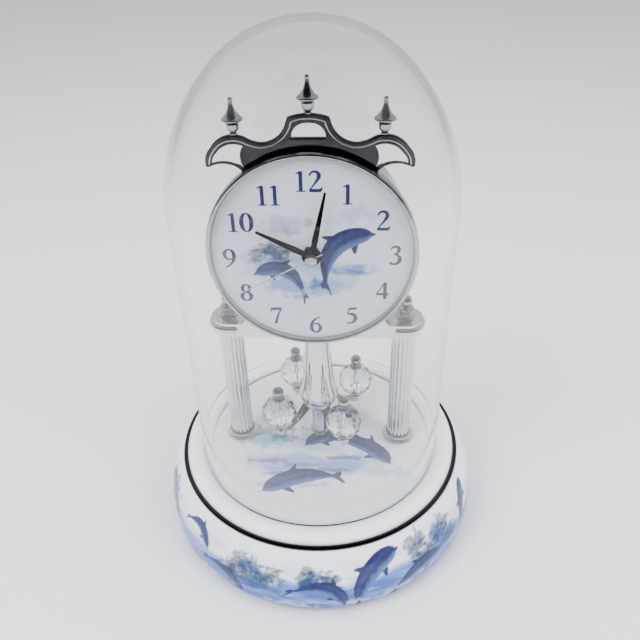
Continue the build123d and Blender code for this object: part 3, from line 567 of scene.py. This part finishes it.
def paint_base(angle, r, z):
    colour = np.tile(np.array(WHITE), (len(r), 1))
    side = np.nonzero((z > FOOT_Z) & (z < CREASE_Z - 0.6) & (r > FRIEZE_FROM_R))[0]
    frieze = Canvas(np.stack([angle[side] * SIDE_R, z[side]], 1), 2 * math.pi * SIDE_R)
    paint_frieze(frieze)
    colour[side] = frieze.colour
    deck = np.nonzero((z > DECK_Z - 0.05) & (r < DECK_R))[0]
    top = Canvas(np.stack([r[deck] * np.cos(angle[deck]), r[deck] * np.sin(angle[deck])], 1))
    paint_deck(top)
    colour[deck] = top.colour
    colour[z < FOOT_Z] = linear(176, 160, 142)
    return colour


base_profile = profile_of(
    (63.1, 0), (70.1, 0), ((74.3, 2.6), (75.7, 8.1)), ((74.0, 22.6), (67.6, 33.9)), (65.5, 33.9),
    ((64.6, 37.4), (61.6, 38.6)), ((59.0, 37.9), (57.4, DECK_Z)), (57.4, 36.0), (54.1, 36.0),
    (54.1, DECK_Z), (1.62, DECK_Z), (1.62, 31.6), (52, 31.6), ((64.5, 24.0), (70.5, 8.1)),
    ((69.0, 5.4), (63.1, 4.4)), (63.1, 0), pitch=0.5,
)
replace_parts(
    grid_piece("base_porcelain", base_profile, 960, "stand", porcelain, paint_base), "base_body"
)


# ---- glass dome: a smooth wall, with a crown arc over a wider shoulder arc ----
DOME_R = 57.0
DOME_WALL = 2.5
DOME_FOOT_Z = 36.05
FOOT_ROUND = 0.3
SHOULDER_Z = 162.0
CROWN_R = 50.0
CROWN_Z = 179.4
crown_up = CROWN_Z - SHOULDER_Z
shoulder_r = (DOME_R**2 + crown_up**2 - CROWN_R**2) / (2 * (DOME_R - CROWN_R))
shoulder_x = DOME_R - shoulder_r
meet_angle = math.atan2(crown_up, -shoulder_x)


def dome_side(inset):
    """Points from the foot of the wall over the cap to the axis, this far inside the outer face."""
    near, far = shoulder_r - inset, CROWN_R - inset
    shoulder = np.linspace(0, meet_angle, 61)
    crown = np.linspace(meet_angle, math.pi / 2, 71)[1:-1]
    points = [(DOME_R - inset, DOME_FOOT_Z + FOOT_ROUND), (DOME_R - inset, DOME_FOOT_Z + 1)]
    points += [(DOME_R - inset, z) for z in np.linspace(DOME_FOOT_Z + 3, SHOULDER_Z - 1, 50)]
    points += [(shoulder_x + near * math.cos(t), SHOULDER_Z + near * math.sin(t)) for t in shoulder]
    points += [(far * math.cos(t), CROWN_Z + far * math.sin(t)) for t in crown]
    return points + [(0.02, CROWN_Z + far)]


dome_foot = arc(
    (DOME_R - DOME_WALL, DOME_FOOT_Z + FOOT_ROUND), (DOME_R - DOME_WALL / 2, DOME_FOOT_Z),
    (DOME_R, DOME_FOOT_Z + FOOT_ROUND), 8,
)
dome_profile = dome_side(0) + dome_side(DOME_WALL)[::-1] + dome_foot[:-1]
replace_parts(grid_piece("dome_wall", dome_profile, 360, "dome", dome_glass), "glass_dome")


# ---- dial, with its painted sea and its numbers ----
HEAD_Z = 147.0
DIAL_FRONT, DIAL_BACK = -15.6, -14.8
DIAL_HOLE, DIAL_R = 3.15, 39.7


def paint_dial(angle, r, _):
    canvas = Canvas(np.stack([r * np.cos(angle), r * np.sin(angle)], 1))
    canvas.colour[:] = DIAL_GROUND
    canvas.wash((9, -8), (20, 6), PALE, 0.9, 0.6, 2, 0.22)
    canvas.wash((-13, -5), (14, 8), PALE, 0.9, 0.7, 3, 0.24)
    canvas.wash((-9, 12.5), (12, 5.0), LILAC, 0.75, 0.8, 5, 0.3)
    canvas.wash((-7.5, 10.5), (4.4, 2.6), WASH, 0.6, 0.9, 6, 0.5)
    canvas.wash((16, 17), (8, 3.6), PALE, 0.8, 0.9, 7, 0.3)
    canvas.wash((16, -6.5), (10, 2.4), WASH, 0.9, 0.8, 8, 0.3)
    canvas.wash((15, -7.8), (8, 1.3), MID, 0.7, 0.8, 9, 0.4)
    canvas.wash((17, -5.0), (8, 0.9), TEAL, 0.35, 0.8, 19, 0.4)
    canvas.island((-15.5, 1.0), 17, 9.5, 10, 0.8)
    canvas.wash((-15, -4.2), (11, 1.4), MID, 0.5, 0.9, 11, 0.5)
    canvas.wash((-8, -14), (14, 4.5), WASH, 0.85, 0.7, 12, 0.25)
    canvas.wash((5, -14), (11, 4.6), WASH, 0.7, 0.7, 13, 0.3)
    canvas.dolphin((-12.0, -9.0), 21.5, 22, -1, 0.32, 0.95, 2)
    canvas.dolphin((11.4, 2.0), 28.5, 46, 1, 0.27, 1.0, 4)
    canvas.wash((1.5, -14.5), (4.2, 4.4), MID, 0.75, 0.9, 14, 0.6)
    canvas.wash((1.0, -16.5), (6.4, 2.4), PALE, 0.9, 0.9, 15, 0.7)
    canvas.wash((-5, -19.0), (9, 1.4), MID, 0.5, 0.9, 16, 0.5)
    return canvas.colour


# The dial is lathed lying down, with heights along -Y, and then stood up on the hands' axis.
dial_profile = profile_of(
    (DIAL_HOLE, -DIAL_FRONT), (DIAL_R, -DIAL_FRONT), (DIAL_R, -DIAL_BACK), (DIAL_HOLE, -DIAL_BACK),
    (DIAL_HOLE, -DIAL_FRONT), pitch=0.33,
)
STAND_UP = Matrix.Rotation(math.radians(90), 4, "X")
dial_face = grid_piece("dial_face", dial_profile, 800, "stand", dial_paint, paint_dial)
dial_face.data.transform(Matrix.Translation((0, 0, HEAD_Z * MM)) @ STAND_UP)
dial_face.data.flip_normals()
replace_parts(dial_face, "dial_plate")


# Strokes are rows of (x, y, half width) for a digit of height 1.
def ellipse_stroke(x, y, rx, ry, thin, thick):
    points = []
    for k in range(13):
        c, s = math.cos(2 * math.pi * k / 12), math.sin(2 * math.pi * k / 12)
        points.append((x + rx * c, y + ry * s, thin + thick * abs(c) ** 1.4))
    return points


SIX = (
    (0.44, 0.97, 0.008), (0.28, 0.88, 0.025), (0.13, 0.68, 0.045), (0.065, 0.38, 0.062), (0.11, 0.13, 0.05),
    (0.25, 0.025, 0.026), (0.39, 0.12, 0.05), (0.44, 0.31, 0.058), (0.38, 0.50, 0.045),
    (0.26, 0.575, 0.026), (0.14, 0.51, 0.018), (0.075, 0.38, 0.03),
)
DIGITS = {
    "0": (ellipse_stroke(0.25, 0.49, 0.19, 0.465, 0.020, 0.048),),
    "1": (
        ((0.25, 0.0, 0.055), (0.25, 0.97, 0.055)),
        ((0.25, 0.95, 0.03), (0.17, 0.89, 0.024), (0.08, 0.85, 0.012)),
        ((0.08, 0.016, 0.016), (0.42, 0.016, 0.016)),
    ),
    "2": (
        (
            (0.05, 0.74, 0.016), (0.10, 0.87, 0.03), (0.22, 0.95, 0.035), (0.34, 0.91, 0.05),
            (0.40, 0.77, 0.062), (0.36, 0.60, 0.05), (0.24, 0.38, 0.03), (0.12, 0.18, 0.02),
            (0.045, 0.08, 0.016),
        ),
        ((0.035, 0.05, 0.05), (0.47, 0.05, 0.05)), ((0.45, 0.05, 0.045), (0.51, 0.20, 0.010)),
    ),
    "3": (
        (
            (0.07, 0.78, 0.014), (0.13, 0.90, 0.03), (0.24, 0.95, 0.034), (0.35, 0.89, 0.05),
            (0.38, 0.76, 0.055), (0.32, 0.61, 0.035), (0.19, 0.53, 0.014),
        ),
        (
            (0.19, 0.53, 0.014), (0.34, 0.48, 0.035), (0.42, 0.33, 0.06), (0.39, 0.15, 0.055),
            (0.26, 0.035, 0.034), (0.13, 0.04, 0.034), (0.05, 0.10, 0.042),
        ),
    ),
    "4": (
        ((0.35, 0.96, 0.022), (0.04, 0.30, 0.018)), ((0.02, 0.28, 0.042), (0.50, 0.28, 0.042)),
        ((0.36, 0.0, 0.055), (0.36, 0.97, 0.055)),
    ),
    "5": (
        ((0.13, 0.915, 0.05), (0.45, 0.93, 0.045)), ((0.13, 0.94, 0.018), (0.075, 0.58, 0.018)),
        (
            (0.07, 0.57, 0.02), (0.22, 0.60, 0.045), (0.36, 0.50, 0.06), (0.40, 0.32, 0.062),
            (0.33, 0.12, 0.05), (0.19, 0.035, 0.03), (0.06, 0.06, 0.042),
        ),
    ),
    "6": (SIX,),
    "7": (
        ((0.04, 0.91, 0.055), (0.48, 0.92, 0.05)), ((0.05, 0.90, 0.03), (0.03, 0.74, 0.01)),
        ((0.465, 0.92, 0.02), (0.33, 0.55, 0.034), (0.20, 0.0, 0.045)),
    ),
    "8": (
        ellipse_stroke(0.25, 0.735, 0.145, 0.215, 0.022, 0.034),
        ellipse_stroke(0.25, 0.265, 0.185, 0.24, 0.024, 0.04),
    ),
    "9": (tuple((0.50 - x, 0.98 - y, w) for x, y, w in SIX),),
}
WIDEN = 1.24
NUMBER_H = 8.0
DIGIT_PITCH = 0.52      # from digit to digit, as a part of the widened height
ELEVEN_TIGHTER = 0.92
BOLD = 1.6
THIN = 0.032            # half width of the thinnest stroke, as a part of the height
INK_LIFT = 0.03         # the ink stands off the dial by this, and each stroke by a little more
STROKE_LIFT = 0.004
CURVE_STEPS = 7


def smooth_track(points):
    """A curve through the points, with their widths."""
    p = np.array(points, float)
    if len(p) == 2:
        return p
    closed = np.allclose(p[0], p[-1])
    before = p[-2] if closed else 2 * p[0] - p[1]
    after = p[1] if closed else 2 * p[-1] - p[-2]
    q = np.vstack([before, p, after])
    out = []
    for a, b, c, d in zip(q, q[1:], q[2:], q[3:]):
        for t in np.linspace(0, 1, CURVE_STEPS, endpoint=False):
            bend = (2 * a - 5 * b + 4 * c - d) * t**2 + (3 * b - a - 3 * c + d) * t**3
            out.append(b + 0.5 * ((c - a) * t + bend))
    out.append(p[-1])
    return np.array(out)


def add_stroke(points, faces, stroke, origin, y):
    """A flat ribbon along a stroke, added to a number's mesh."""
    track = smooth_track([(x * WIDEN, z, max(w * BOLD, THIN)) for x, z, w in stroke]) * NUMBER_H
    along = np.gradient(track[:, :2], axis=0)
    along /= np.linalg.norm(along, axis=1, keepdims=True)
    first = len(points)
    for (x, z, w), (dx, dz) in zip(track, along):
        for side in (-1, 1):
            points.append((origin[0] + x - side * dz * w, y, origin[1] + z + side * dx * w))
    for k in range(len(track) - 1):
        a = first + 2 * k
        faces.append((a, a + 2, a + 3, a + 1))


NUMBER_PLACES = {
    "12": (-0.5, 177), "1": (13.9, 172), "2": (27, 161.6), "3": (32.2, 147.1), "4": (27.6, 131.4),
    "5": (15.7, 119.2), "6": (0.9, 114.5), "7": (-15.2, 118.8), "8": (-26.7, 129.9), "9": (-32.1, 145.3),
    "10": (-26.7, 160.6), "11": (-15.3, 171.5),
}
for text, (x, z) in NUMBER_PLACES.items():
    points, faces = [], []
    pitch = DIGIT_PITCH * WIDEN * NUMBER_H * (ELEVEN_TIGHTER if text == "11" else 1.0)
    left = x - pitch * len(text) / 2
    for k, digit in enumerate(text):
        for m, stroke in enumerate(DIGITS[digit]):
            y = DIAL_FRONT - INK_LIFT - STROKE_LIFT * m
            add_stroke(points, faces, stroke, (left + k * pitch, z - NUMBER_H / 2), y)
    mesh_piece(f"numeral_{text}", points, faces, "stand", numeral_ink)


# ---- crest: a plate with a rolled edge and a painted dark reflection, a raised line inside it, and wing faces made bright by a painted highlight ----
CREST_MID_Y = -12.1
LINE_Y = -13.22
WING_Y = -13.25
RIM_R = 38.15           # the crest's lower edge follows the drum
RIM_HALF = 34.5         # degrees either side of the top
right_half = profile_of(
    (0, 200.2), ((4.6, 199.69), (7.3, 198.9)), (7.9, 197.4), ((11.0, 192.3), (16.8, 190.0)),
    ((19.6, 190.5), (22.6, 191.9)), ((30.2, 192.3), (35.2, 188.3)), ((37.3, 184.9), (37.5, 181.6)),
    ((37.0, 181.1), (36.3, 181.2)), ((31.7, 182.4), (26.5, 181.2)), (22.35, 177.95), pitch=0.45,
)
rim_angles = np.radians(np.linspace(RIM_HALF, -RIM_HALF, 60))
rim = [(RIM_R * math.sin(t), HEAD_Z + RIM_R * math.cos(t)) for t in rim_angles]
left_half = [(-x, z) for x, z in right_half[::-1]]
crest_line = right_half + rim + left_half[:-1]
opening = profile_of(
    (-6.1, 191.8), (6.1, 191.8), ((5.0, 195.0), (2.2, 196.8)), ((0, 197.0), (-2.2, 196.8)),
    ((-5.0, 195.0), (-6.1, 191.8)), pitch=0.4,
)


def curve_piece(name, curve, loops, closed, material, place):
    """A chrome piece of the stand, from a curve through loops of points in millimetres."""
    for loop in loops:
        spline = curve.splines.new("POLY")
        spline.points.add(len(loop) - 1)
        for point, at in zip(spline.points, loop):
            point.co = (*(v * MM for v in at), 1)
        spline.use_cyclic_u = closed
    curve.materials.append(material)
    piece = bpy.data.objects.new(name, curve)
    bpy.context.collection.objects.link(piece)
    piece.matrix_world = place
    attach(piece, "stand")
    return piece


def plate(name, loops, y, half_thick, roll, material):
    """A flat plate with rounded edges, from closed loops of (x, z)."""
    curve = bpy.data.curves.new(name, "CURVE")
    curve.dimensions = "2D"
    curve.fill_mode = "BOTH"
    curve.extrude = (half_thick - roll) * MM
    curve.bevel_depth = roll * MM
    curve.bevel_resolution = 4
    curve.offset = -roll * MM
    flat = [[(x, z, 0) for x, z in loop] for loop in loops]
    return curve_piece(name, curve, flat, True, material, Matrix.Translation((0, y * MM, 0)) @ STAND_UP)


def bead(name, points, y, radius, material):
    """A raised line of (x, z) points on a plate's face."""
    curve = bpy.data.curves.new(name, "CURVE")
    curve.dimensions = "3D"
    curve.bevel_depth = radius * MM
    curve.bevel_resolution = 3
    curve.use_fill_caps = True
    curve_piece(name, curve, [[(x, y, z) for x, z in points]], False, material, Matrix())


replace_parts(plate("crest_plate", [crest_line, opening], CREST_MID_Y, 1.1, 0.5, crest_dark_reflection_chrome), "crest")
bead_right = profile_of(
    (0, 198.7), ((3.2, 198.4), (5.9, 197.6)), ((9.9, 191.1), (16.6, 188.5)),
    ((19.6, 188.9), (23.3, 190.4)), ((29.6, 190.6), (33.9, 187.4)), ((35.6, 184.6), (36.0, 182.4)),
    pitch=0.5,
)
wing = profile_of(
    (23.2, 189.2), ((29.2, 189.6), (33.2, 186.6)), ((34.6, 184.6), (34.9, 182.9)),
    ((31.0, 183.7), (26.4, 182.8)), ((24.4, 182.0), (23.2, 181.0)), ((24.6, 185.0), (23.2, 189.2)),
    pitch=0.5,
)
# The wing plates' brightness is a painted highlight.
for side, word in ((-1, "left"), (1, "right")):
    bead(f"crest_line_{word}", [(side * x, z) for x, z in bead_right], LINE_Y, 0.30, chrome)
    plate(f"crest_wing_{word}", [[(side * x, z) for x, z in wing]], WING_Y, 0.3, 0.22, wing_painted_highlight)


# ---- stage, lights and camera ----
def stage_sheet(name, x_span, y_span, z, colour):
    """A level sheet of paper, in metres."""
    (x0, x1), (y0, y1) = x_span, y_span
    mesh = bpy.data.meshes.new(name)
    mesh.from_pydata([(x0, y0, z), (x1, y0, z), (x1, y1, z), (x0, y1, z)], [], [(0, 1, 2, 3)])
    paper = Shader(name, colour, rough=0.7)
    paper.mottle(paper.noise(2.0, 2), tuple(c * 0.985 for c in colour), colour)
    mesh.materials.append(paper.mat)
    sheet = bpy.data.objects.new(name, mesh)
    bpy.context.collection.objects.link(sheet)
    return sheet


FLOOR_SPAN = (-8, 8)
stage_sheet("floor", FLOOR_SPAN, FLOOR_SPAN, -0.0002, (0.80, 0.80, 0.81))

# A dark sheet in front of the clock, which only gloss sees.
shade = stage_sheet("front_shade", (-3, 3), (-3, -0.26), 0.002, (0.012, 0.012, 0.014))
for ray in ("camera", "diffuse", "transmission", "shadow"):
    setattr(shade, f"visible_{ray}", False)


def lamp(name, place, target, size, power, colour=(1, 1, 1)):
    """A soft lamp that neither gloss nor glass shows."""
    data = bpy.data.lights.new(name, "AREA")
    data.shape = "RECTANGLE"
    data.size, data.size_y = size
    data.energy = power
    data.color = colour
    light = bpy.data.objects.new(name, data)
    bpy.context.collection.objects.link(light)
    light.visible_glossy = light.visible_transmission = False
    light.location = place
    light.rotation_euler = (Vector(target) - Vector(place)).to_track_quat("-Z", "Y").to_euler()


lamp("key", (-0.55, -0.45, 0.85), (0, 0, 0.1), (0.5, 0.4), 11.0)
lamp("fill", (0.65, -0.35, 0.7), (0, 0, 0.1), (0.5, 0.5), 7.5, (0.97, 0.98, 1.0))
lamp("top", (0.0, 0.05, 1.1), (0, 0.02, 0.1), (0.9, 0.5), 9.0)


def graded(background, axis, strength, low, high):
    """A background that changes colour along one axis of the direction looked in."""
    place = remapped(tree, direction.outputs[axis], (-1, 1))
    tree.links.new(two_stop_ramp(tree, place, low, high), background.inputs["Color"])
    background.inputs["Strength"].default_value = strength
    return background.outputs[0]


world = bpy.data.worlds.new("studio")
bpy.context.scene.world = world
world.use_nodes = True
tree = world.node_tree
coords = tree.nodes.new("ShaderNodeTexCoord")
direction = tree.nodes.new("ShaderNodeSeparateXYZ")
tree.links.new(coords.outputs["Generated"], direction.inputs[0])
sky = graded(tree.nodes["Background"], "Z", 1.0, (0.40, (0.10, 0.10, 0.11)), (0.50, (0.95, 0.96, 1.0)))

# Gloss sees a darker room on the viewer's side, which gives the chrome its dark lines.
room_node = tree.nodes.new("ShaderNodeBackground")
room = graded(room_node, "Y", 0.85, (0.42, (0.012, 0.012, 0.015)), (0.56, (0.90, 0.91, 0.94)))
path = tree.nodes.new("ShaderNodeLightPath")
choice = tree.nodes.new("ShaderNodeMixShader")
for source, socket in zip((path.outputs["Is Glossy Ray"], sky, room), choice.inputs):
    tree.links.new(source, socket)
tree.links.new(choice.outputs[0], tree.nodes["World Output"].inputs["Surface"])

# The camera, by its own right, up and back directions.
right = Vector((0.99845, 0.05137, -0.02134))
up = Vector((-0.01187, 0.57149, 0.82052))
back = -Vector((-0.05435, 0.81900, -0.57122))
camera = bpy.data.objects.new("camera", bpy.data.cameras.new("camera"))
camera.data.sensor_width = 36
camera.data.lens = 36.70
camera.data.clip_start = 0.01
turn = Matrix((right, up, back)).transposed().to_4x4()
camera.matrix_world = Matrix.Translation((0.01721, -0.23641, 0.27008)) @ turn
bpy.context.collection.objects.link(camera)
bpy.context.scene.camera = camera


def corners(pair):
    return [[float(v) for v in corner] for corner in pair]
